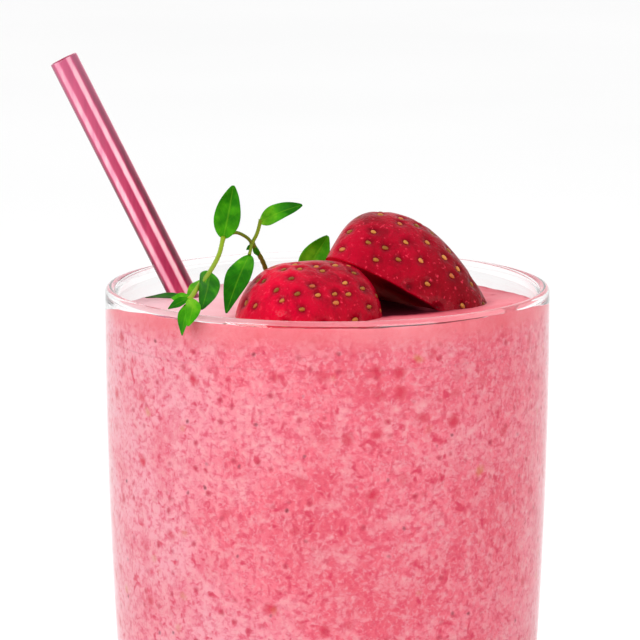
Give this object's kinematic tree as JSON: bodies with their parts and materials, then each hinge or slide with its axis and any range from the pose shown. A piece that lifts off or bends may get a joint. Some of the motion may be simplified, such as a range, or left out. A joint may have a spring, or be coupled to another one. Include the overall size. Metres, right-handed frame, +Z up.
{
  "type": "strawberry smoothie in a glass",
  "caption": "Strawberry smoothie in a plain clear tumbler, with a leaning straw, strawberry halves and a sprig of thyme on top.",
  "frame": {"origin": "centre of the glass's flat foot, on the surface it stands on", "axes": "+Z up along the glass's axis, +X to the right of the viewer, +Y to the back; the straw leans towards -X"},
  "size_m": [0.0983, 0.0866, 0.1684],
  "materials": {
    "clear_glass": "clear polished soda glass",
    "smoothie": "opaque pink blended drink with red specks, softly glossy on top",
    "straw_plastic": "glossy translucent pink-red tube with lengthwise bands",
    "strawberry": "wet glossy red skin with yellow seeds",
    "herb_leaf": "satin green leaf with a pale vein"
  },
  "bodies": {
    "root": {"glass": "clear_glass", "smoothie": "smoothie", "straw": "straw_plastic", "strawberry_half_left": "strawberry", "strawberry_half_right": "strawberry", "thyme_sprig": "herb_leaf"}
  },
  "joints": []
}
